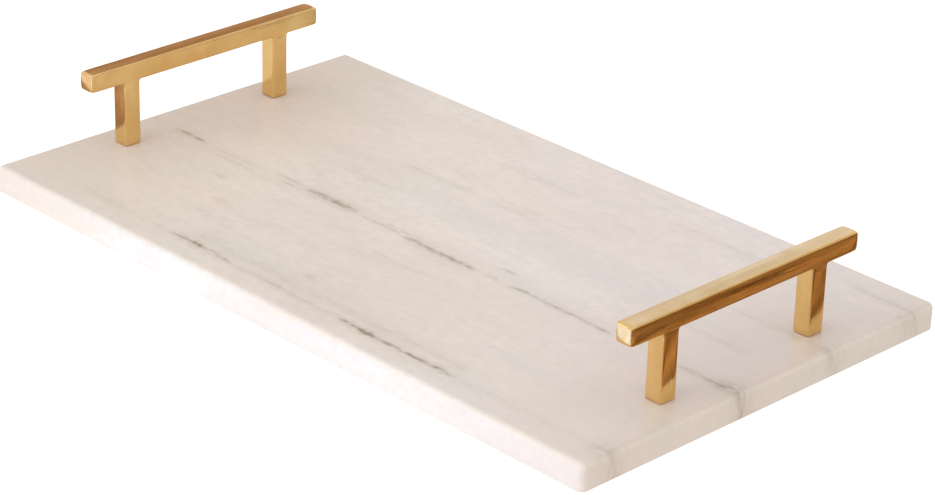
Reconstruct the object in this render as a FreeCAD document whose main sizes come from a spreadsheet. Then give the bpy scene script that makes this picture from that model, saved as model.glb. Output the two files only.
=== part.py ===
import FreeCAD, Part  # noqa: E401  FreeCAD has to be imported before Part
import os

import Sketcher
from FreeCAD import Vector

# A stone vanity tray: one polished slab on four rubber feet, with a cast brass bar handle across
# each end. Each handle stands on two square posts, and a screw with a washer comes up through the
# slab into each post. The origin is on the surface that the tray stands on, under the slab's
# centre. X runs along the tray, Y across it, and Z up. All sizes are in millimetres.

SIZES = {
    # stone slab
    "slab_length": 400.0,
    "slab_width": 230.0,
    "slab_thickness": 13.5,
    "slab_corner_radius": 3.5,
    "slab_top_radius": 3.0,
    "slab_bottom_radius": 1.0,
    "screw_hole_diameter": 5.0,
    "counterbore_diameter": 11.0,
    "counterbore_depth": 5.0,
    # cast handles
    "handle_inset": 19.5,  # from the slab's end to the bar's middle plane
    "bar_length": 147.0,
    "bar_width": 9.7,
    "bar_height": 9.7,
    "bar_end_radius": 2.0,
    "handle_edge_radius": 0.8,
    "post_spacing": 96.0,  # between the two posts' axes
    "post_depth": 9.7,
    "post_height": 33.5,
    "junction_radius": 1.3,
    "post_foot_chamfer": 0.25,
    "tapped_hole_diameter": 4.1,
    "tapped_hole_depth": 10.5,
    "drill_point_angle": 118.0,
    # pan-head screws, M4 x 16
    "screw_diameter": 4.0,
    "screw_length": 16.0,
    "screw_point_chamfer": 0.4,
    "thread_pitch": 0.7,
    "thread_depth": 0.4,
    "thread_mouth": 0.6,  # how far a thread groove opens along the shank
    "head_diameter": 8.0,
    "head_height": 3.1,
    "head_crown_radius": 1.6,
    "recess_length": 4.3,
    "recess_width": 1.1,
    "recess_depth": 1.7,
    # washers under the screw heads
    "washer_outer_diameter": 9.0,
    "washer_inner_diameter": 4.3,
    "washer_thickness": 0.8,
    # rubber feet
    "foot_height": 2.5,
    "foot_top_diameter": 13.0,
    "foot_bottom_diameter": 11.6,
    "foot_edge_radius": 0.8,
    "foot_inset_x": 44.0,  # from the slab's end to the foot's axis
    "foot_inset_y": 18.0,  # from the slab's long side to the foot's axis
}

SIDES = {"left": -1, "right": 1}
ROWS = {"front": -1, "back": 1}
NEAR = 1e-4
OUT_FOLDER = "parts"


def make_sheet(doc):
    """The driving dimensions, one per row, each under its own alias."""
    sheet = doc.addObject("Spreadsheet::Sheet", "Sizes")
    for row, (alias, value) in enumerate(SIZES.items(), start=1):
        sheet.set(f"A{row}", alias)
        sheet.set(f"B{row}", str(value))
        sheet.setAlias(f"B{row}", alias)
    doc.recompute()
    return sheet


def bind(thing, path, formula):
    """Binds a property or a constraint to a formula, whose names are looked up in the sheet."""
    words = formula.replace("(", " ( ").replace(")", " ) ").split()
    thing.setExpression(path, " ".join(f"Sizes.{word}" if word in SIZES else word for word in words))


# Sketches and features


def new_body(doc, name):
    body = doc.addObject("PartDesign::Body", name)
    body.Label = name
    return body


def origin_feature(body, role):
    return next(feature for feature in body.Origin.OriginFeatures if feature.Role == role)


def new_sketch(body, name, plane, offset=None):
    """A sketch on one of the body's own planes, moved off it by an offset from the sheet."""
    sketch = body.newObject("Sketcher::SketchObject", name)
    sketch.AttachmentSupport = (origin_feature(body, plane), [""])
    sketch.MapMode = "FlatFace"
    if offset:
        bind(sketch, "AttachmentOffset.Base.z", offset)
    return sketch


def constrain(sketch, kind, geometry, formula):
    """A dimension of the sketch whose value comes from the sheet."""
    number = sketch.addConstraint(Sketcher.Constraint(kind, *geometry, 1.0))
    bind(sketch, f"Constraints[{number}]", formula)


def place_point(sketch, item, vertex, across, along):
    """Puts a point at (across, along) in the sketch. "0" stands for the sketch's own axis."""
    for kind, formula, axis in (("DistanceX", across, -2), ("DistanceY", along, -1)):
        if formula == "0":
            sketch.addConstraint(Sketcher.Constraint("PointOnObject", item, vertex, axis))
        else:
            constrain(sketch, kind, (-1, 1, item, vertex), formula)


def add_outline(sketch, corners):
    """A closed outline of straight lines. Each corner is a pair of formulas, (across, along)."""
    first = sketch.GeometryCount
    count = len(corners)
    rough = [Vector(3.0 + corner, 4.0 + corner**2, 0) for corner in range(count)]
    for corner in range(count):
        sketch.addGeometry(Part.LineSegment(rough[corner], rough[(corner + 1) % count]), False)
    for corner, (across, along) in enumerate(corners):
        before = first + (corner - 1) % count
        sketch.addConstraint(Sketcher.Constraint("Coincident", before, 2, first + corner, 1))
        place_point(sketch, first + corner, 1, across, along)


def add_rectangle(sketch, width, height, across="0", along="0"):
    """A rectangle with its centre at (across, along)."""
    sides = (("-", "-"), ("+", "-"), ("+", "+"), ("-", "+"))
    add_outline(sketch, [(f"{across} {x} {width} / 2", f"{along} {y} {height} / 2") for x, y in sides])


def add_circle(sketch, diameter, across, along):
    circle = sketch.addGeometry(Part.Circle(Vector(4, 3, 0), Vector(0, 0, 1), 2), False)
    constrain(sketch, "Diameter", (circle,), diameter)
    place_point(sketch, circle, 3, across, along)


def pad(body, name, sketch, length, both_ways=False):
    feature = body.newObject("PartDesign::Pad", name)
    feature.Profile = sketch
    feature.Midplane = both_ways
    bind(feature, "Length", length)
    return feature


def expect_cut(doc, body, before):
    """Stops the script if the last feature took nothing away from the body."""
    doc.recompute()
    if body.Shape.Volume > before - 0.01:
        raise RuntimeError(f"{body.Label}: {body.Tip.Label} cut nothing")


def drill_up(doc, body, name, sketch, diameter, depth=None):
    """Round holes that go up from the sketch: blind ones if a depth is given, through if not."""
    doc.recompute()
    before = body.Shape.Volume
    hole = body.newObject("PartDesign::Hole", name)
    hole.Profile = sketch
    hole.Reversed = True
    bind(hole, "Diameter", diameter)
    if depth:
        hole.DepthType = "Dimension"
        hole.DrillPoint = "Angled"
        bind(hole, "Depth", depth)
        bind(hole, "DrillPointAngle", "drill_point_angle")
    else:
        hole.DepthType = "ThroughAll"
        hole.HoleCutType = "Counterbore"
        bind(hole, "HoleCutDiameter", "counterbore_diameter")
        bind(hole, "HoleCutDepth", "counterbore_depth")
    expect_cut(doc, body, before)


def dress(doc, body, kind, name, test, size):
    """Fillets or chamfers the edges of the body's last feature for which test(edge) is true."""
    doc.recompute()
    base = body.Tip
    edges = [f"Edge{i}" for i, edge in enumerate(base.Shape.Edges, start=1) if test(edge)]
    if not edges:
        raise RuntimeError(f"{body.Label}: {name} found no edges")
    feature = body.newObject(f"PartDesign::{kind}", name)
    feature.Base = (base, edges)
    bind(feature, "Radius" if kind == "Fillet" else "Size", size)
    doc.recompute()


# Tests that pick edges


def middle(edge):
    return edge.valueAt((edge.FirstParameter + edge.LastParameter) / 2)


def runs_along(edge, axis):
    """True for a straight edge parallel to one axis: 0 is X, 1 is Y and 2 is Z."""
    if edge.Curve.TypeId != "Part::GeomLine":
        return False
    return abs(abs(edge.tangentAt(edge.FirstParameter)[axis]) - 1) < NEAR


def at_level(edge, level):
    """True if the whole edge lies in the horizontal plane at that height."""
    points = [vertex.Point for vertex in edge.Vertexes] + [middle(edge)]
    return all(abs(point.z - level) < NEAR for point in points)


def on_side_face(edge, half_width):
    """True if the whole edge lies in one of the two planes x = half_width and x = -half_width."""
    points = [vertex.Point for vertex in edge.Vertexes] + [middle(edge)]
    return all(abs(abs(point.x) - half_width) < NEAR for point in points)


# Sub-parts


def make_slab(doc, sheet):
    """The stone: rounded edges and, under each handle post, a stepped hole drilled from below."""
    body = new_body(doc, "marble_slab")
    outline = new_sketch(body, "slab_outline", "XY_Plane")
    add_rectangle(outline, "slab_length", "slab_width")
    pad(body, "slab_block", outline, "slab_thickness")
    top = sheet.slab_thickness
    dress(doc, body, "Fillet", "slab_corners", lambda edge: runs_along(edge, 2), "slab_corner_radius")
    dress(doc, body, "Fillet", "slab_top_edge", lambda edge: at_level(edge, top), "slab_top_radius")
    dress(doc, body, "Fillet", "slab_bottom_edge", lambda edge: at_level(edge, 0), "slab_bottom_radius")
    plan = new_sketch(body, "screw_hole_plan", "XY_Plane")
    for sx in SIDES.values():
        for sy in ROWS.values():
            across = f"{sx} * ( slab_length / 2 - handle_inset )"
            add_circle(plan, "screw_hole_diameter", across, f"{sy} * post_spacing / 2")
    drill_up(doc, body, "screw_holes", plan, "screw_hole_diameter")
    bind(body, "Placement.Base.z", "foot_height")
    return body


def make_handle(doc, sheet, side, sx):
    """One casting: a square bar on two square posts, each tapped from below for its screw."""
    name = f"handle_{side}"
    body = new_body(doc, name)
    bar = new_sketch(body, f"{name}_bar_section", "XZ_Plane")
    add_rectangle(bar, "bar_width", "bar_height", along="post_height + bar_height / 2")
    pad(body, f"{name}_bar", bar, "bar_length", both_ways=True)
    posts = new_sketch(body, f"{name}_post_sections", "XY_Plane")
    for sy in ROWS.values():
        add_rectangle(posts, "bar_width", "post_depth", along=f"{sy} * post_spacing / 2")
    pad(body, f"{name}_posts", posts, "post_height")

    underside = sheet.post_height
    half_bar = sheet.bar_length / 2
    half_width = sheet.bar_width / 2

    def is_junction(edge):
        return runs_along(edge, 0) and at_level(edge, underside) and abs(middle(edge).y) < half_bar - 1

    def is_bar_end(edge):
        return abs(abs(middle(edge).y) - half_bar) < NEAR

    def is_long_edge(edge):
        beside_end = abs(abs(middle(edge).y) - half_bar) < sheet.bar_end_radius
        return on_side_face(edge, half_width) and not beside_end and not at_level(edge, 0)

    dress(doc, body, "Fillet", f"{name}_junctions", is_junction, "junction_radius")
    dress(doc, body, "Fillet", f"{name}_bar_ends", is_bar_end, "bar_end_radius")
    dress(doc, body, "Fillet", f"{name}_long_edges", is_long_edge, "handle_edge_radius")
    dress(doc, body, "Chamfer", f"{name}_feet", lambda edge: at_level(edge, 0), "post_foot_chamfer")

    taps = new_sketch(body, f"{name}_tap_plan", "XY_Plane")
    for sy in ROWS.values():
        add_circle(taps, "tapped_hole_diameter", "0", f"{sy} * post_spacing / 2")
    drill_up(doc, body, f"{name}_taps", taps, "tapped_hole_diameter", "tapped_hole_depth")
    bind(body, "Placement.Base.x", f"{sx} * ( slab_length / 2 - handle_inset )")
    bind(body, "Placement.Base.z", "foot_height + slab_thickness")
    return body


def make_screw(doc, sheet, side, sx, row, sy):
    """A pan-head machine screw. In its own frame z is 0 under the head, and the shank points up."""
    name = f"screw_{side}_{row}"
    body = new_body(doc, name)
    shank = body.newObject("PartDesign::AdditiveCylinder", f"{name}_shank")
    bind(shank, "Radius", "screw_diameter / 2")
    bind(shank, "Height", "screw_length")
    head = body.newObject("PartDesign::AdditiveCylinder", f"{name}_head")
    bind(head, "Radius", "head_diameter / 2")
    bind(head, "Height", "head_height")
    bind(head, "Placement.Base.z", "-1 * head_height")
    low, high = -sheet.head_height, sheet.screw_length
    dress(doc, body, "Fillet", f"{name}_crown", lambda edge: at_level(edge, low), "head_crown_radius")
    dress(doc, body, "Chamfer", f"{name}_point", lambda edge: at_level(edge, high), "screw_point_chamfer")

    before = body.Shape.Volume
    section = new_sketch(body, f"{name}_groove_section", "XZ_Plane")
    outside = "screw_diameter / 2 + thread_depth"
    corners = (
        ("screw_diameter / 2 - thread_depth", "thread_pitch"),
        (outside, "thread_pitch + thread_mouth"),
        (outside, "thread_pitch - thread_mouth"),
    )
    add_outline(section, corners)
    groove = body.newObject("PartDesign::Groove", f"{name}_groove")
    groove.Profile = section
    groove.ReferenceAxis = (section, ["V_Axis"])
    groove.Angle = 360
    expect_cut(doc, body, before)
    thread = body.newObject("PartDesign::LinearPattern", f"{name}_thread")
    thread.Originals = [groove]
    thread.Direction = (origin_feature(body, "Z_Axis"), [""])
    thread.Mode = "Spacing"
    thread.Occurrences = int((sheet.screw_length - sheet.screw_point_chamfer) / sheet.thread_pitch) - 1
    bind(thread, "Offset", "thread_pitch")
    body.Tip = thread

    doc.recompute()
    before = body.Shape.Volume
    cross = new_sketch(body, f"{name}_recess_plan", "XY_Plane", "-1 * head_height")
    add_rectangle(cross, "recess_length", "recess_width")
    slot = body.newObject("PartDesign::Pocket", f"{name}_slot")
    slot.Profile = cross
    slot.Reversed = True
    bind(slot, "Length", "recess_depth")
    expect_cut(doc, body, before)
    recess = body.newObject("PartDesign::PolarPattern", f"{name}_recess")
    recess.Originals = [slot]
    recess.Axis = (origin_feature(body, "Z_Axis"), [""])
    recess.Angle = 90
    recess.Occurrences = 2
    body.Tip = recess
    bind(body, "Placement.Base.x", f"{sx} * ( slab_length / 2 - handle_inset )")
    bind(body, "Placement.Base.y", f"{sy} * post_spacing / 2")
    bind(body, "Placement.Base.z", "foot_height + counterbore_depth - washer_thickness")
    return body


def make_washer(doc, side, sx, row, sy):
    """A flat steel washer between a screw head and the step of its hole."""
    name = f"washer_{side}_{row}"
    disc = doc.addObject("Part::Cylinder", f"{name}_disc")
    bind(disc, "Radius", "washer_outer_diameter / 2")
    hole = doc.addObject("Part::Cylinder", f"{name}_hole")
    bind(hole, "Radius", "washer_inner_diameter / 2")
    for cylinder in (disc, hole):
        bind(cylinder, "Height", "washer_thickness")
    ring = doc.addObject("Part::Cut", name)
    ring.Label = name
    ring.Base = disc
    ring.Tool = hole
    bind(ring, "Placement.Base.x", f"{sx} * ( slab_length / 2 - handle_inset )")
    bind(ring, "Placement.Base.y", f"{sy} * post_spacing / 2")
    bind(ring, "Placement.Base.z", "foot_height + counterbore_depth - washer_thickness")
    return ring


def make_foot(doc, side, sx, row, sy):
    """A tapered rubber bumper, stuck to the slab by its wide face."""
    name = f"foot_{side}_{row}"
    body = new_body(doc, name)
    cone = body.newObject("PartDesign::AdditiveCone", f"{name}_cone")
    bind(cone, "Radius1", "foot_bottom_diameter / 2")
    bind(cone, "Radius2", "foot_top_diameter / 2")
    bind(cone, "Height", "foot_height")
    dress(doc, body, "Fillet", f"{name}_edge", lambda edge: at_level(edge, 0), "foot_edge_radius")
    bind(body, "Placement.Base.x", f"{sx} * ( slab_length / 2 - foot_inset_x )")
    bind(body, "Placement.Base.y", f"{sy} * ( slab_width / 2 - foot_inset_y )")
    return body


def check(doc, parts):
    """Stops the script if any object failed, or if a sub-part isn't one sound solid."""
    for thing in doc.Objects:
        if {"Invalid", "Error"} & set(thing.State):
            raise RuntimeError(f"{thing.Label} failed: {thing.State}")
    for part in parts:
        shape = part.Shape
        if shape.isNull() or not shape.isValid() or len(shape.Solids) != 1:
            raise RuntimeError(f"{part.Label} isn't one sound solid")


def main():
    doc = FreeCAD.newDocument("tray")
    sheet = make_sheet(doc)
    parts = [make_slab(doc, sheet)]
    for side, sx in SIDES.items():
        parts.append(make_handle(doc, sheet, side, sx))
        for row, sy in ROWS.items():
            parts.append(make_screw(doc, sheet, side, sx, row, sy))
            parts.append(make_washer(doc, side, sx, row, sy))
            parts.append(make_foot(doc, side, sx, row, sy))
    doc.recompute()
    check(doc, parts)
    os.makedirs(OUT_FOLDER, exist_ok=True)
    for part in parts:
        part.Shape.exportStep(os.path.join(OUT_FOLDER, f"{part.Label}.step"))
        box = part.Shape.BoundBox
        print(f"{part.Label}: {part.Shape.Volume:.1f} mm3, z {box.ZMin:.2f} to {box.ZMax:.2f}")


main()
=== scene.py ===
import math

import bmesh
import bpy
from mathutils import Matrix, Vector, noise


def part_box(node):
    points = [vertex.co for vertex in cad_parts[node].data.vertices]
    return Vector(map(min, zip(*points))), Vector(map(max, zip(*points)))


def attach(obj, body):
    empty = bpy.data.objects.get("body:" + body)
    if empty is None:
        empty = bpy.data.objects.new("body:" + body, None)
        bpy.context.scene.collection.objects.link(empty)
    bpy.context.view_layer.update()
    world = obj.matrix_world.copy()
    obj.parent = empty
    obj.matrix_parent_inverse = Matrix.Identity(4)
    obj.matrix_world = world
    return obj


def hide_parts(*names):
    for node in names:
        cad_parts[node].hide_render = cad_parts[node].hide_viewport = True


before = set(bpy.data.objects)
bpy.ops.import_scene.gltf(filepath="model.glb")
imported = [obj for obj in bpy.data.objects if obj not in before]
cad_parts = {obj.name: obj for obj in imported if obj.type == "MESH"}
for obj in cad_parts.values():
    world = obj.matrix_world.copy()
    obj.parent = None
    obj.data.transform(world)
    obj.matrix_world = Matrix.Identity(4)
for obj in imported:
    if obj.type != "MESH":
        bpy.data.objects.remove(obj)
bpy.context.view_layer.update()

# The looks of a marble vanity tray with cast brass bar handles. Everything is in metres, in the
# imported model's frame: X along the tray, Y across it, Z up from the surface that it stands on.

MM = 0.001

SIDES = ("left", "right")
ROWS = ("front", "back")
FASTENERS = [f"{kind}_{side}_{row}" for kind in ("screw", "washer") for side in SIDES for row in ROWS]
FEET = [f"foot_{side}_{row}" for side in SIDES for row in ROWS]

# Camera
CAMERA_TARGET = Vector((-0.0014, 0.0145, 0.0025))
CAMERA_AZIMUTH = math.radians(45.33)
CAMERA_ELEVATION = math.radians(25.21)
CAMERA_ROLL = math.radians(1.64)
CAMERA_DISTANCE = 1.505
CAMERA_LENS = 121.85
SENSOR_WIDTH = 36.0

# Slab
SLAB_CORNER_RADIUS = 3.5 * MM
SLAB_TOP_RADIUS = 3.0 * MM
SLAB_BOTTOM_RADIUS = 1.0 * MM
LEAST_CORNER_RADIUS = 0.1 * MM
SLAB_ARC_STEPS = 8
SLAB_SIDE_STEP = 8.0 * MM
GUARD = 0.4 * MM
SCREW_HOLE_RADIUS = 2.5 * MM
COUNTERBORE_RADIUS = 5.5 * MM
COUNTERBORE_RIM = 0.3 * MM
HOLE_STEPS = 48

# Handles
POST_SPACING = 96.0 * MM
POST_DEPTH = 9.7 * MM
BAR_HEIGHT = 9.7 * MM
LONG_EDGE_HOLD = 1.4 * MM
BAR_END_HOLD = 3.2 * MM
JUNCTION_HOLD = 1.5 * MM
FOOT_HOLD = 0.7 * MM
CELL_LENGTH = 7.0 * MM
SUBDIVISIONS = 3
SWELL = 0.14 * MM
END_SWELL = 0.6 * MM
END_LENGTH = 7.0 * MM
HOLLOWS = ((38 * MM, 0.16 * MM), (13 * MM, 0.07 * MM))
HOLLOW_BIAS = 0.35
HOLLOW_RANGE = 0.5
SEED_STEP = 17.0
NEAR = 0.001 * MM


# Mesh helpers


def add_object(name, mesh):
    piece = bpy.data.objects.new(name, mesh)
    bpy.context.scene.collection.objects.link(piece)
    return piece


def finish_mesh(name, work, smooth=True):
    """Turns a bmesh into an object with outward normals."""
    bmesh.ops.recalc_face_normals(work, faces=work.faces)
    for face in work.faces:
        face.smooth = smooth
    mesh = bpy.data.meshes.new(name)
    work.to_mesh(mesh)
    work.free()
    return add_object(name, mesh)


def bridge(work, lower, upper):
    """Quads between two closed rings of vertices of the same length."""
    count = len(lower)
    for i in range(count):
        j = (i + 1) % count
        work.faces.new((lower[i], lower[j], upper[j], upper[i]))


def find_edge(a, b):
    return next(edge for edge in a.link_edges if edge.other_vert(a) is b)


# Slab


def corner_arcs(half_x, half_y, radius):
    """The points of a rectangle's four round corners, anticlockwise."""
    corners = ((1, 1, 0), (-1, 1, 90), (-1, -1, 180), (1, -1, 270))
    arcs = []
    for sx, sy, start in corners:
        centre = Vector((sx * (half_x - radius), sy * (half_y - radius)))
        angles = [math.radians(start + 90 * i / SLAB_ARC_STEPS) for i in range(SLAB_ARC_STEPS + 1)]
        arcs.append([centre + radius * Vector((math.cos(a), math.sin(a))) for a in angles])
    return arcs


def slab_ring(work, half_x, half_y, inset, height):
    """One closed ring of the slab's surface, at an inset from its sides and at a height."""
    radius = max(SLAB_CORNER_RADIUS - inset, LEAST_CORNER_RADIUS)
    arcs = corner_arcs(half_x - inset, half_y - inset, radius)
    points = []
    for number, arc in enumerate(arcs):
        after = arcs[(number + 1) % len(arcs)][0]
        points += arc
        count = round((2 * half_x if number % 2 == 0 else 2 * half_y) / SLAB_SIDE_STEP)
        points += [arc[-1].lerp(after, i / count) for i in range(1, count)]
    return [work.verts.new((point.x, point.y, height)) for point in points]


def slab_profile(low, high):
    """The slab's edge from the top face's rim to the underside's, as pairs of inset and height."""
    profile = [(SLAB_TOP_RADIUS + GUARD, high)]
    for step in range(SLAB_ARC_STEPS + 1):
        angle = math.radians(90 * step / SLAB_ARC_STEPS)
        inset = SLAB_TOP_RADIUS * (1 - math.sin(angle))
        profile.append((inset, high - SLAB_TOP_RADIUS * (1 - math.cos(angle))))
    profile.append((0.0, high - SLAB_TOP_RADIUS - GUARD))
    profile.append((0.0, low + SLAB_BOTTOM_RADIUS + GUARD))
    for step in range(SLAB_ARC_STEPS + 1):
        angle = math.radians(90 * step / SLAB_ARC_STEPS)
        inset = SLAB_BOTTOM_RADIUS * (1 - math.cos(angle))
        profile.append((inset, low + SLAB_BOTTOM_RADIUS * (1 - math.sin(angle))))
    profile.append((SLAB_BOTTOM_RADIUS + GUARD, low))
    return profile


def circle_ring(work, centre, radius, height):
    angles = [2 * math.pi * i / HOLE_STEPS for i in range(HOLE_STEPS)]
    return [
        work.verts.new((centre.x + radius * math.cos(a), centre.y + radius * math.sin(a), height))
        for a in angles
    ]


def mark_sharp(ring):
    for a, b in zip(ring, ring[1:] + ring[:1]):
        find_edge(a, b).smooth = False


def stepped_hole(work, centre, low, seat, high):
    """A screw hole with its counterbore. Returns its rims in the slab's underside and top face."""
    rim = circle_ring(work, centre, COUNTERBORE_RADIUS + COUNTERBORE_RIM, low)
    wall = circle_ring(work, centre, COUNTERBORE_RADIUS, low + COUNTERBORE_RIM)
    corner = circle_ring(work, centre, COUNTERBORE_RADIUS, seat)
    mouth = circle_ring(work, centre, SCREW_HOLE_RADIUS, seat)
    top = circle_ring(work, centre, SCREW_HOLE_RADIUS, high)
    rings = (rim, wall, corner, mouth, top)
    for lower, upper in zip(rings, rings[1:]):
        bridge(work, lower, upper)
    for ring in rings:
        mark_sharp(ring)
    return rim, top


def fill_flat(work, outer, holes):
    """Fills the flat face inside one ring and outside the others."""
    edges = [find_edge(a, b) for ring in (outer, *holes) for a, b in zip(ring, ring[1:] + ring[:1])]
    bmesh.ops.triangle_fill(work, use_beauty=True, use_dissolve=False, edges=edges)


def make_slab():
    """The polished slab: rounded edges all round and a counterbored hole under each post."""
    low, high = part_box("marble_slab")
    work = bmesh.new()
    rings = [slab_ring(work, high.x, high.y, inset, height) for inset, height in slab_profile(low.z, high.z)]
    for upper, lower in zip(rings, rings[1:]):
        bridge(work, lower, upper)
    bottom_rims, top_rims = [], []
    for side in SIDES:
        for row in ROWS:
            washer_low, washer_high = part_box(f"washer_{side}_{row}")
            centre = (washer_low + washer_high) / 2
            rim, top = stepped_hole(work, centre, low.z, washer_high.z, high.z)
            bottom_rims.append(rim)
            top_rims.append(top)
    fill_flat(work, rings[0], top_rims)
    fill_flat(work, rings[-1], bottom_rims)
    slab = finish_mesh("slab_stone", work)
    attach(slab, "root")
    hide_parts("marble_slab")
    return slab


# Handles


def with_spares(places):
    """The places in order, with more between them wherever two are further apart than a cell."""
    places = sorted(places)
    full = []
    for start, end in zip(places, places[1:]):
        count = max(1, round((end - start) / CELL_LENGTH))
        full += [start + (end - start) * i / count for i in range(count)]
    return full + [places[-1]]


def grid_cage(xs, ys, zs, is_solid):
    """A closed cage of quads around the cells of a grid for which is_solid(y, z) is true."""
    work = bmesh.new()
    corners = {}
    counts = (len(xs) - 1, len(ys) - 1, len(zs) - 1)

    def corner(i, j, k):
        if (i, j, k) not in corners:
            corners[i, j, k] = work.verts.new((xs[i], ys[j], zs[k]))
        return corners[i, j, k]

    def filled(i, j, k):
        if not (0 <= i < counts[0] and 0 <= j < counts[1] and 0 <= k < counts[2]):
            return False
        return is_solid((ys[j] + ys[j + 1]) / 2, (zs[k] + zs[k + 1]) / 2)

    steps = ((1, 0, 0), (-1, 0, 0), (0, 1, 0), (0, -1, 0), (0, 0, 1), (0, 0, -1))
    for i in range(counts[0]):
        for j in range(counts[1]):
            for k in range(counts[2]):
                if not filled(i, j, k):
                    continue
                for step in steps:
                    if not filled(i + step[0], j + step[1], k + step[2]):
                        work.faces.new([corner(*place) for place in face_corners((i, j, k), step)])
    return work


def face_corners(cell, step):
    """The four grid corners of the side of a cell that faces along step, in order around it."""
    axis = next(a for a in range(3) if step[a])
    across, up = (axis + 1) % 3, (axis + 2) % 3
    around = ((0, 0), (1, 0), (1, 1), (0, 1))
    places = []
    for a, b in around if step[axis] > 0 else around[::-1]:
        place = list(cell)
        place[axis] += max(step[axis], 0)
        place[across] += a
        place[up] += b
        places.append(tuple(place))
    return places


def handle_grid(low, high):
    """The grid planes that hold a handle's edges tight where they are tight and soft where soft."""
    middle = (low.y + high.y) / 2
    under_bar = high.z - BAR_HEIGHT
    xs = [low.x, low.x + LONG_EDGE_HOLD, high.x - LONG_EDGE_HOLD, high.x]
    ys = [low.y, low.y + BAR_END_HOLD, high.y - BAR_END_HOLD, high.y]
    for sy in (-1, 1):
        for face, hold in ((POST_DEPTH / 2, -1), (-POST_DEPTH / 2, 1)):
            edge = middle + sy * POST_SPACING / 2 + face
            ys += [edge, edge + hold * LONG_EDGE_HOLD, edge - hold * JUNCTION_HOLD]
    zs = [low.z, low.z + FOOT_HOLD, under_bar - JUNCTION_HOLD, under_bar, under_bar + LONG_EDGE_HOLD]
    zs += [high.z - LONG_EDGE_HOLD, high.z]

    def is_solid(y, z):
        return z > under_bar or abs(abs(y - middle) - POST_SPACING / 2) < POST_DEPTH / 2

    return xs, with_spares(ys), with_spares(zs), is_solid


def subdivided(piece, levels):
    """Replaces a piece's cage by its subdivision surface."""
    modifier = piece.modifiers.new("round", "SUBSURF")
    modifier.levels = levels
    modifier.render_levels = levels
    modifier.boundary_smooth = "PRESERVE_CORNERS"
    depsgraph = bpy.context.evaluated_depsgraph_get()
    mesh = bpy.data.meshes.new_from_object(piece.evaluated_get(depsgraph))
    piece.modifiers.clear()
    piece.data = mesh
    for polygon in mesh.polygons:
        polygon.use_smooth = True


def cushion(mesh, low, high):
    """Swells the casting's flats, as hand grinding does. Their edges draw in, not their middles."""
    centre = (low + high) / 2
    half_length = (high.y - low.y) / 2
    under_bar = high.z - BAR_HEIGHT
    for vertex in mesh.vertices:
        side = math.copysign(1.0, vertex.co.y - centre.y)
        across = (vertex.co.x - centre.x) / (high.x - centre.x)
        up = (vertex.co.z - under_bar) / (BAR_HEIGHT / 2) - 1
        along = (vertex.co.y - centre.y - side * POST_SPACING / 2) / (POST_DEPTH / 2)
        on_post = min(max((under_bar - vertex.co.z) / JUNCTION_HOLD, 0.0), 1.0)
        on_bar = 1 - on_post
        end = max(0.0, 1 - (half_length - abs(vertex.co.y - centre.y)) / END_LENGTH) ** 2
        up = max(up, -1.0)
        along = min(max(along, -1.0), 1.0)
        vertex.co.x -= across * (SWELL * (on_bar * up**2 + on_post * along**2) + SWELL * end)
        vertex.co.y -= along * SWELL * across**2 * on_post + side * END_SWELL * end * (across**2 + up**2) / 2
        vertex.co.z -= up * (SWELL * across**2 + SWELL * end) * on_bar


def cast_surface(mesh, floor, seed):
    """The slight hollows that casting and hand polishing leave. They only go inwards."""
    offsets = []
    for vertex in mesh.vertices:
        depth = 0.0
        for length, amount in HOLLOWS:
            place = vertex.co / length + Vector((seed, 0, 0))
            depth += amount * max(0.0, HOLLOW_BIAS + HOLLOW_RANGE * noise.noise(place))
        inwards = vertex.normal * -depth
        if vertex.co.z - floor < NEAR:
            inwards.z = 0.0
        offsets.append(inwards)
    for vertex, offset in zip(mesh.vertices, offsets):
        vertex.co += offset


def make_handle(side, seed):
    """One brass casting: a square bar on two square posts that flow into it."""
    node = f"handle_{side}"
    low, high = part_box(node)
    cage = grid_cage(*handle_grid(low, high))
    handle = finish_mesh(f"handle_{side}_casting", cage)
    subdivided(handle, SUBDIVISIONS)
    cushion(handle.data, low, high)
    cast_surface(handle.data, low.z, seed)
    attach(handle, "root")
    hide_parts(node)
    return handle


# Materials

# A Mix node has a socket of each name for every data type, so the colour ones go by number.
MIX_COLOUR_A = 6
MIX_COLOUR_B = 7
MIX_COLOUR_RESULT = 2


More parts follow.
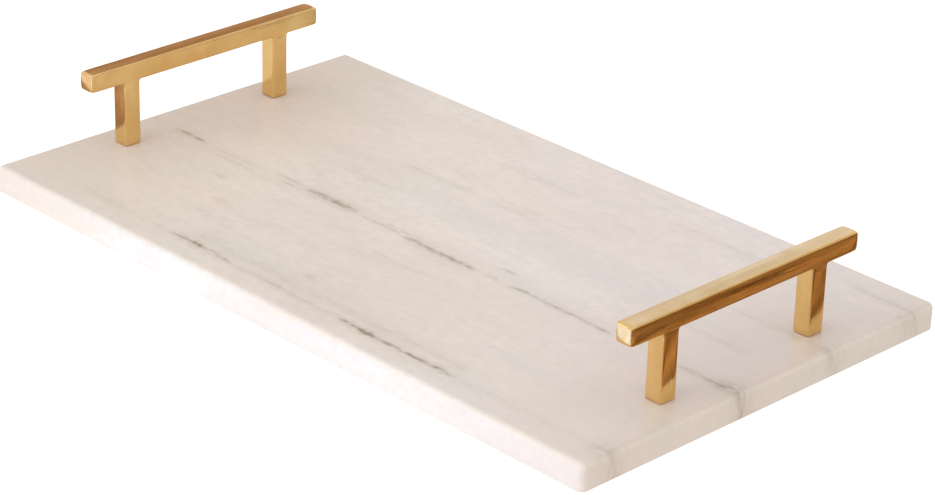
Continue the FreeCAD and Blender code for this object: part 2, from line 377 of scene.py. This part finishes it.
class Surface:
    """A node material and short ways to add nodes to it."""

    def __init__(self, name):
        self.material = bpy.data.materials.new(name)
        self.material.use_nodes = True
        self.tree = self.material.node_tree
        self.shader = self.tree.nodes["Principled BSDF"]
        self.place = self.tree.nodes.new("ShaderNodeTexCoord").outputs["Object"]

    def put(self, socket, value):
        """Links a socket to another node's output, or sets it."""
        if isinstance(value, bpy.types.NodeSocket):
            self.tree.links.new(value, socket)
        else:
            socket.default_value = value

    def finish(self, **values):
        """Sets or links the Principled shader's own sockets. An underscore stands for a space."""
        for name, value in values.items():
            self.put(self.shader.inputs[name.replace("_", " ")], value)

    def math(self, operation, first, second=0.0):
        node = self.tree.nodes.new("ShaderNodeMath")
        node.operation = operation
        for socket, value in zip(node.inputs, (first, second)):
            self.put(socket, value)
        return node.outputs[0]

    def stretch(self, scale, vector=None):
        """The object's coordinates, scaled along each axis."""
        node = self.tree.nodes.new("ShaderNodeMapping")
        self.put(node.inputs["Vector"], self.place if vector is None else vector)
        node.inputs["Scale"].default_value = scale
        return node.outputs["Vector"]

    def noise(self, vector, scale=1.0, detail=3.0, roughness=0.5):
        node = self.tree.nodes.new("ShaderNodeTexNoise")
        self.put(node.inputs["Vector"], vector)
        node.inputs["Scale"].default_value = scale
        node.inputs["Detail"].default_value = detail
        node.inputs["Roughness"].default_value = roughness
        return node.outputs["Fac"]

    def span(self, value, low, high, new_low=0.0, new_high=1.0, smooth=False):
        """Maps low..high to new_low..new_high and holds it there beyond."""
        node = self.tree.nodes.new("ShaderNodeMapRange")
        node.interpolation_type = "SMOOTHSTEP" if smooth else "LINEAR"
        for socket, number in zip(node.inputs, (value, low, high, new_low, new_high)):
            self.put(socket, number)
        return node.outputs["Result"]

    def blend(self, amount, first, second):
        node = self.tree.nodes.new("ShaderNodeMix")
        node.data_type = "RGBA"
        self.put(node.inputs["Factor"], amount)
        self.put(node.inputs[MIX_COLOUR_A], first)
        self.put(node.inputs[MIX_COLOUR_B], second)
        return node.outputs[MIX_COLOUR_RESULT]

    def bump(self, height, strength, distance):
        node = self.tree.nodes.new("ShaderNodeBump")
        node.inputs["Strength"].default_value = strength
        node.inputs["Distance"].default_value = distance
        self.put(node.inputs["Height"], height)
        return node.outputs["Normal"]


def srgb(red, green, blue):
    """A colour given as 0 to 255 on screen, as the linear colour that the shader takes."""
    linear = []
    for part in (red, green, blue):
        part /= 255
        linear.append(part / 12.92 if part <= 0.04045 else ((part + 0.055) / 1.055) ** 2.4)
    return (*linear, 1.0)


STONE = srgb(234, 223, 213)
STONE_PINK = srgb(234, 217, 205)
STONE_GREY = srgb(208, 200, 189)
# A darker, warmer stone colour used as painted shade towards the slab's ends.
STONE_SHADED = srgb(218, 201, 187)
VEIN = srgb(150, 136, 113)

# Each vein is a thin sheet in the stone that runs along the slab. In millimetres on the top face:
# where it starts and ends along X, where it lies along Y, and its half width; then its strength.
# The layout is moved along X and spread along Y to lie on this slab.
VEIN_SHIFT = 2.0
VEIN_SPREAD = 1.0145
VEIN_OFFSET = -0.2
VEINS = (
    (-214, -191, -15.0, 0.9, 0.45),
    (-182, -153, -15.2, 1.1, 0.70),
    (-153, -110, -16.0, 0.8, 0.18),
    (-108, -84, -13.4, 0.7, 0.40),
    (-100, -80, -17.6, 0.7, 0.35),
    (-84, -44, -14.4, 1.7, 0.80),
    (-46, -12, -15.8, 0.8, 0.35),
    (-30, -2, -12.8, 0.7, 0.25),
    (-13, 39, -16.0, 1.4, 0.78),
    (37, 58, -15.6, 0.8, 0.35),
    (56, 126, -15.3, 1.0, 0.62),
    (160, 200, -16.0, 1.4, 0.45),
    (179, 192, -16.2, 2.4, 0.45),
    (184, 210, -15.0, 5.5, 0.34),
    (41, 56, -6.0, 0.7, 0.42),
    (-144, -115, -21.0, 0.8, 0.18),
    (-88, -40, -94.0, 1.1, 0.62),
    (-74, -60, -93.2, 1.6, 0.45),
    (-42, 30, -94.2, 0.9, 0.22),
    (30, 108, -95.2, 1.0, 0.80),
    (45, 58, -95.6, 1.9, 0.80),
    (184, 210, -94.0, 5.0, 0.32),
    (-155, 190, -94.8, 2.4, 0.10),
    (-80, 110, -87.0, 2.6, 0.16),
    (-130, -113, -35.7, 1.6, 0.26),
    (-106, -87, -54.7, 2.2, 0.24),
    (-14, -1, -76.7, 1.8, 0.26),
    (-30, 30, -37.0, 1.4, 0.10),
    (-76, -24, 42.0, 1.5, 0.18),
    (-12, 18, 42.0, 1.5, 0.15),
    (138, 200, 43.0, 1.6, 0.18),
    (188, 210, 44.0, 5.0, 0.20),
    (-16, 38, 47.5, 1.4, 0.12),
    (-44, 14, 77.0, 2.2, 0.14),
    (58, 118, 90.0, 2.2, 0.16),
    (158, 203, 100.0, 1.7, 0.22),
    (190, 210, 95.0, 5.0, 0.20),
    (138, 178, 15.0, 2.2, 0.18),
    (-95, -52, 15.5, 2.0, 0.12),
)
VEIN_END_FADE = 7 * MM
VEIN_CORE = 0.75
VEIN_HALO = 0.25
HALO_FALLOFF = 0.12

BRASS_PALE = (0.86, 0.59, 0.25, 1)
BRASS_DEEP = (0.78, 0.50, 0.19, 1)
STEEL_PALE = (0.60, 0.61, 0.63, 1)
STEEL_DEEP = (0.50, 0.51, 0.52, 1)
RUBBER_DARK = (0.030, 0.029, 0.028, 1)
RUBBER_DUSTY = (0.050, 0.048, 0.045, 1)


def vein_group():
    """A node group that gives the strength of one vein at a place in the stone."""
    group = bpy.data.node_groups.new("vein", "ShaderNodeTree")
    for name in ("Along", "Across", "Start", "End", "Centre", "Half width", "Strength"):
        group.interface.new_socket(name, in_out="INPUT", socket_type="NodeSocketFloat")
    group.interface.new_socket("Amount", in_out="OUTPUT", socket_type="NodeSocketFloat")
    inside = group.nodes.new("NodeGroupInput").outputs
    outside = group.nodes.new("NodeGroupOutput").inputs

    def math_node(operation, *values):
        node = group.nodes.new("ShaderNodeMath")
        node.operation = operation
        for socket, value in zip(node.inputs, values):
            if isinstance(value, bpy.types.NodeSocket):
                group.links.new(value, socket)
            else:
                socket.default_value = value
        return node.outputs[0]

    def fade(distance, soft):
        """0 at no distance, and nearly 1 beyond the soft length."""
        ratio = math_node("DIVIDE", distance, soft)
        clamped = math_node("MINIMUM", math_node("MAXIMUM", ratio, 0.0), 1.0)
        return math_node("SMOOTH_MIN", clamped, 1.0, 0.15)

    from_start = fade(math_node("SUBTRACT", inside["Along"], inside["Start"]), VEIN_END_FADE)
    from_end = fade(math_node("SUBTRACT", inside["End"], inside["Along"]), VEIN_END_FADE)
    offset = math_node("SUBTRACT", inside["Across"], inside["Centre"])
    ratio = math_node("DIVIDE", offset, inside["Half width"])
    square = math_node("MULTIPLY", ratio, ratio)
    core = math_node("EXPONENT", math_node("MULTIPLY", square, -1.0))
    halo = math_node("EXPONENT", math_node("MULTIPLY", square, -HALO_FALLOFF))
    core = math_node("MULTIPLY", core, VEIN_CORE)
    halo = math_node("MULTIPLY", halo, VEIN_HALO)
    profile = math_node("ADD", core, halo)
    along = math_node("MULTIPLY", from_start, from_end)
    amount = math_node("MULTIPLY", math_node("MULTIPLY", along, profile), inside["Strength"])
    group.links.new(amount, outside["Amount"])
    return group


def marble_material():
    """Polished white marble: warm clouds, long fine streaks and broken grey veins, all in depth, with
    painted shade towards both ends.
    """
    stone = Surface("polished_marble")
    split = stone.tree.nodes.new("ShaderNodeSeparateXYZ")
    stone.put(split.inputs[0], stone.place)
    x, y, z = split.outputs

    drift = stone.noise(stone.stretch((12, 5, 5)), detail=2.0)
    jitter = stone.noise(stone.stretch((75, 40, 40)), detail=4.0, roughness=0.55)
    bend = stone.span(drift, 0.2, 0.8, -1.2 * MM, 1.2 * MM)
    wander = stone.math("ADD", bend, stone.math("MULTIPLY", z, 0.2))
    wander = stone.math("ADD", wander, stone.span(jitter, 0.2, 0.8, -1.1 * MM, 1.1 * MM))
    across = stone.math("ADD", y, wander)

    sheets = stone.tree.nodes.new("ShaderNodeCombineXYZ")
    for socket, value in zip(sheets.inputs, (x, across, z)):
        stone.put(socket, value)
    sheet_place = sheets.outputs[0]

    clouds = stone.noise(stone.stretch((7, 14, 14)), detail=3.0)
    bands = stone.noise(stone.stretch((5, 40, 20), sheet_place), detail=3.0)
    streaks = stone.noise(stone.stretch((30, 150, 80), sheet_place), detail=5.0, roughness=0.65)
    mottle = stone.noise(stone.stretch((200, 280, 280)), detail=4.0, roughness=0.7)

    group = vein_group()
    total = 0.0
    for start, end, centre, half_width, strength in VEINS:
        node = stone.tree.nodes.new("ShaderNodeGroup")
        node.node_tree = group
        start, end = start + VEIN_SHIFT, end + VEIN_SHIFT
        centre = centre * VEIN_SPREAD + VEIN_OFFSET
        values = (x, across, start * MM, end * MM, centre * MM, half_width * MM, strength)
        for socket, value in zip(node.inputs, values):
            stone.put(socket, value)
        total = stone.math("ADD", node.outputs[0], total)
    broken = stone.noise(stone.stretch((180, 400, 110)), detail=4.0, roughness=0.7)
    veins = stone.math("MULTIPLY", total, stone.span(broken, 0.38, 0.62, 0.35, 1.2))

    colour = stone.blend(stone.span(clouds, 0.35, 0.65), STONE, STONE_PINK)
    # Painted shade: the top is made darker and warmer towards both ends, where it gets less light.
    shaded_ends = stone.span(stone.math("ABSOLUTE", x), 0.08, 0.21, 0.0, 0.6, smooth=True)
    colour = stone.blend(shaded_ends, colour, STONE_SHADED)
    colour = stone.blend(stone.span(bands, 0.45, 0.75, 0.0, 0.35), colour, STONE_GREY)
    colour = stone.blend(stone.span(streaks, 0.45, 0.75, 0.0, 0.35), colour, STONE_GREY)
    colour = stone.blend(stone.span(mottle, 0.40, 0.75, 0.0, 0.50), colour, STONE_GREY)
    colour = stone.blend(stone.span(veins, 0.0, 1.0), colour, VEIN)
    stone.finish(
        Base_Color=colour,
        Roughness=stone.span(clouds, 0.3, 0.7, 0.24, 0.30),
        Normal=stone.bump(mottle, 0.05, 0.1 * MM),
        IOR=1.45,
    )
    return stone.material


def brass_material():
    """Cast brass, polished by hand: uneven in colour and gloss, with rubbing marks along each bar."""
    brass = Surface("polished_brass")
    height = brass.tree.nodes.new("ShaderNodeSeparateXYZ")
    brass.put(height.inputs[0], brass.place)
    under_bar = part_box("handle_left")[1].z - BAR_HEIGHT
    on_bar = brass.span(height.outputs[2], under_bar - 2 * MM, under_bar + MM)
    patches = brass.noise(brass.place, scale=70.0, detail=4.0)
    fine = brass.blend(
        on_bar,
        brass.noise(brass.stretch((1600, 1600, 60)), detail=2.0),
        brass.noise(brass.stretch((1600, 60, 1600)), detail=2.0),
    )
    broad = brass.blend(
        on_bar,
        brass.noise(brass.stretch((260, 260, 40)), detail=2.0),
        brass.noise(brass.stretch((260, 40, 260)), detail=2.0),
    )
    colour = brass.blend(brass.span(patches, 0.3, 0.7), BRASS_PALE, BRASS_DEEP)
    worn = brass.span(patches, 0.3, 0.7, 0.08, 0.13)
    gloss = brass.math("ADD", worn, brass.span(fine, 0.3, 0.7, 0.0, 0.05))
    pits = brass.noise(brass.place, scale=420.0, detail=3.0)
    relief = brass.math("ADD", brass.math("MULTIPLY", pits, 0.2), brass.math("MULTIPLY", fine, 0.12))
    relief = brass.math("ADD", relief, broad)
    brass.finish(
        Base_Color=colour,
        Metallic=1.0,
        Roughness=gloss,
        Normal=brass.bump(relief, 0.35, 0.3 * MM),
    )
    return brass.material


def steel_material():
    """Bright zinc-plated steel."""
    steel = Surface("zinc_plated_steel")
    patches = steel.noise(steel.place, scale=400.0, detail=3.0)
    colour = steel.blend(steel.span(patches, 0.3, 0.7), STEEL_PALE, STEEL_DEEP)
    steel.finish(
        Base_Color=colour,
        Metallic=1.0,
        Roughness=steel.span(patches, 0.3, 0.7, 0.28, 0.40),
        Normal=steel.bump(patches, 0.15, 0.05 * MM),
    )
    return steel.material


def rubber_material():
    """Soft dark grey rubber with a fine moulded grain."""
    rubber = Surface("foot_rubber")
    grain = rubber.noise(rubber.place, scale=2500.0, detail=2.0)
    dust = rubber.noise(rubber.place, scale=300.0, detail=3.0)
    colour = rubber.blend(rubber.span(dust, 0.4, 0.7), RUBBER_DARK, RUBBER_DUSTY)
    rubber.finish(
        Base_Color=colour,
        Roughness=rubber.span(dust, 0.3, 0.7, 0.55, 0.75),
        Normal=rubber.bump(grain, 0.3, 0.05 * MM),
    )
    return rubber.material


def give(piece, material):
    piece.data.materials.clear()
    piece.data.materials.append(material)


# Studio

BLACK = (0.0, 0.0, 0.0, 1.0)
WHITE = (1.0, 1.0, 1.0, 1.0)
FLOOR_SIZE = 8.0
FLOOR_GREY = (0.50, 0.50, 0.50, 1.0)
FLOOR_GLOW = 0.86
SKY_COLOUR = (1.0, 0.99, 0.98, 1.0)
SKY_STRENGTH = 0.92

# The soft lights. For each: its name, its place, what it points at, its size, power and colour.
LIGHTS = (
    ("key", (-0.25, -1.42, 0.32), (0, 0, 0), (1.2, 1.0), 9.6, (0.88, 1.0, 1.20)),
    ("fill", (1.2, -0.9, 0.05), (0, 0, 0.01), (0.8, 0.5), 2.0, (0.85, 1.0, 1.25)),
)

# The cards glow only in reflections. For each: its name, its centre, its width and depth, the two
# colours that it varies between, and how many patches it has per metre along each of its axes.
CARD_HEIGHT = 0.5 * MM
CARD_TARGET = (0.0, 0.0, 0.05)
FLOOR_CARDS = (
    # The first card is painted shade: a dark brown sheet that stands for the floor in the tray's shadow, as
    # the right handle mirrors it.
    ("floor_in_shadow", (0.44, 0.12), (0.48, 1.2), (0.06, 0.025, 0.008), (0.62, 0.36, 0.18), (60, 8, 1)),
    ("front_floor", (0.12, -0.35), (0.5, 0.46), (1.0, 1.2, 1.9), (1.3, 1.55, 2.6), (30, 30, 1)),
    ("left_floor", (-0.40, -0.40), (0.50, 0.50), (0.90, 0.85, 1.0), (1.2, 1.15, 1.4), (30, 30, 1)),
    ("left_shade", (-0.28, -0.105), (0.13, 0.07), (0.35, 0.24, 0.18), (0.65, 0.48, 0.42), (30, 30, 1)),
    ("back_floor", (-0.15, 0.32), (0.60, 0.38), (0.50, 0.47, 0.44), (0.75, 0.72, 0.68), (30, 9, 1)),
)
WALL_CARDS = (
    ("back_wall", (-0.46, 0.75, 0.53), (0.30, 0.50), (0.68, 0.72, 0.90), (0.95, 1.05, 1.45), (12, 5, 1)),
    ("left_wall", (-0.98, 0.64, 0.46), (0.36, 0.50), (0.32, 0.20, 0.14), (0.60, 0.43, 0.34), (12, 5, 1)),
    ("front_wall", (-1.0, -1.16, 0.80), (0.50, 0.45), (1.6, 2.0, 3.0), (2.1, 2.6, 3.8), (4, 4, 1)),
    ("camera_wall", (1.0, -1.04, 0.66), (0.60, 0.50), (1.4, 1.5, 1.7), (2.0, 2.1, 2.4), (4, 4, 1)),
    ("front_panel", (-0.06, -0.28, 0.155), (0.20, 0.16), (1.5, 1.7, 2.1), (1.9, 2.1, 2.5), (20, 20, 1)),
    ("shade", (0.51, 0.75, 0.80), (0.50, 0.40), (0.05, 0.03, 0.015), (0.22, 0.13, 0.07), (12, 5, 1)),
)


def add_camera():
    """The camera looks down at the tray from its front right, turned a little about its own axis."""
    data = bpy.data.cameras.new("camera")
    data.lens = CAMERA_LENS
    data.sensor_width = SENSOR_WIDTH
    camera = add_object("camera", data)
    turn = Matrix.Rotation(CAMERA_AZIMUTH, 4, "Z") @ Matrix.Rotation(math.pi / 2 - CAMERA_ELEVATION, 4, "X")
    turn = turn @ Matrix.Rotation(CAMERA_ROLL, 4, "Z")
    back = turn.to_3x3() @ Vector((0, 0, 1))
    camera.matrix_world = Matrix.Translation(CAMERA_TARGET + back * CAMERA_DISTANCE) @ turn
    bpy.context.scene.camera = camera


def flat_card(name, width, depth):
    """A flat rectangle about its own origin, facing its own +Z."""
    work = bmesh.new()
    corners = ((-1, -1), (1, -1), (1, 1), (-1, 1))
    work.faces.new([work.verts.new((a * width / 2, b * depth / 2, 0)) for a, b in corners])
    return finish_mesh(name, work, smooth=False)


def seen_by(piece, camera=False, glossy=False):
    """Shows a piece only to the camera or only in reflections. It never lights or shades the tray."""
    piece.visible_camera = camera
    piece.visible_diffuse = False
    piece.visible_glossy = glossy
    piece.visible_shadow = False
    piece.visible_transmission = camera
    piece.visible_volume_scatter = False


def glow_material(name, dark, light, grain):
    """A glow that varies between two colours, with a number of patches per metre along each axis."""
    glow = Surface(name)
    patches = glow.noise(glow.stretch(grain), detail=2.0)
    colour = glow.blend(glow.span(patches, 0.35, 0.65), (*dark, 1.0), (*light, 1.0))
    glow.finish(Base_Color=BLACK, Emission_Color=colour, Emission_Strength=1.0, Specular_IOR_Level=0.0)
    return glow.material


def add_floor():
    """A plain pale floor, lifted to white by a little glow of its own."""
    floor = flat_card("floor", FLOOR_SIZE, FLOOR_SIZE)
    paper = Surface("floor_paper")
    paper.finish(
        Base_Color=FLOOR_GREY,
        Roughness=0.9,
        Emission_Color=WHITE,
        Emission_Strength=FLOOR_GLOW,
        Specular_IOR_Level=0.0,
    )
    give(floor, paper.material)
    seen_by(floor, camera=True)


def add_card(name, place, look_at, size, dark, light, grain):
    """A glowing card that only shows in the polished surfaces."""
    card = flat_card(name, *size)
    place, look_at = Vector(place), Vector(look_at)
    turn = (look_at - place).to_track_quat("Z", "Y").to_matrix().to_4x4()
    card.matrix_world = Matrix.Translation(place) @ turn
    give(card, glow_material(name, dark, light, grain))
    seen_by(card, glossy=True)


def add_light(name, place, look_at, size, power, colour):
    """A soft light that stays out of the reflections, which come from the cards instead."""
    data = bpy.data.lights.new(name, "AREA")
    data.shape = "RECTANGLE"
    data.size, data.size_y = size
    data.energy = power
    data.color = colour
    light = add_object(name, data)
    place, look_at = Vector(place), Vector(look_at)
    turn = (place - look_at).to_track_quat("Z", "Y").to_matrix().to_4x4()
    light.matrix_world = Matrix.Translation(place) @ turn
    light.visible_glossy = False


def add_studio():
    world = bpy.data.worlds.new("studio")
    world.use_nodes = True
    sky = world.node_tree.nodes["Background"]
    sky.inputs["Color"].default_value = SKY_COLOUR
    sky.inputs["Strength"].default_value = SKY_STRENGTH
    bpy.context.scene.world = world
    bpy.context.scene.view_settings.view_transform = "Standard"
    add_floor()
    for light in LIGHTS:
        add_light(*light)
    for name, place, size, dark, light, grain in FLOOR_CARDS:
        add_card(name, (*place, CARD_HEIGHT), (*place, 1.0), size, dark, light, grain)
    for name, place, size, dark, light, grain in WALL_CARDS:
        add_card(name, place, CARD_TARGET, size, dark, light, grain)


def main():
    marble, brass = marble_material(), brass_material()
    steel, rubber = steel_material(), rubber_material()
    give(make_slab(), marble)
    for number, side in enumerate(SIDES):
        give(make_handle(side, seed=SEED_STEP * number), brass)
    for name in FASTENERS:
        give(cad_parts[name], steel)
    for name in FEET:
        give(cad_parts[name], rubber)
    add_camera()
    add_studio()


main()
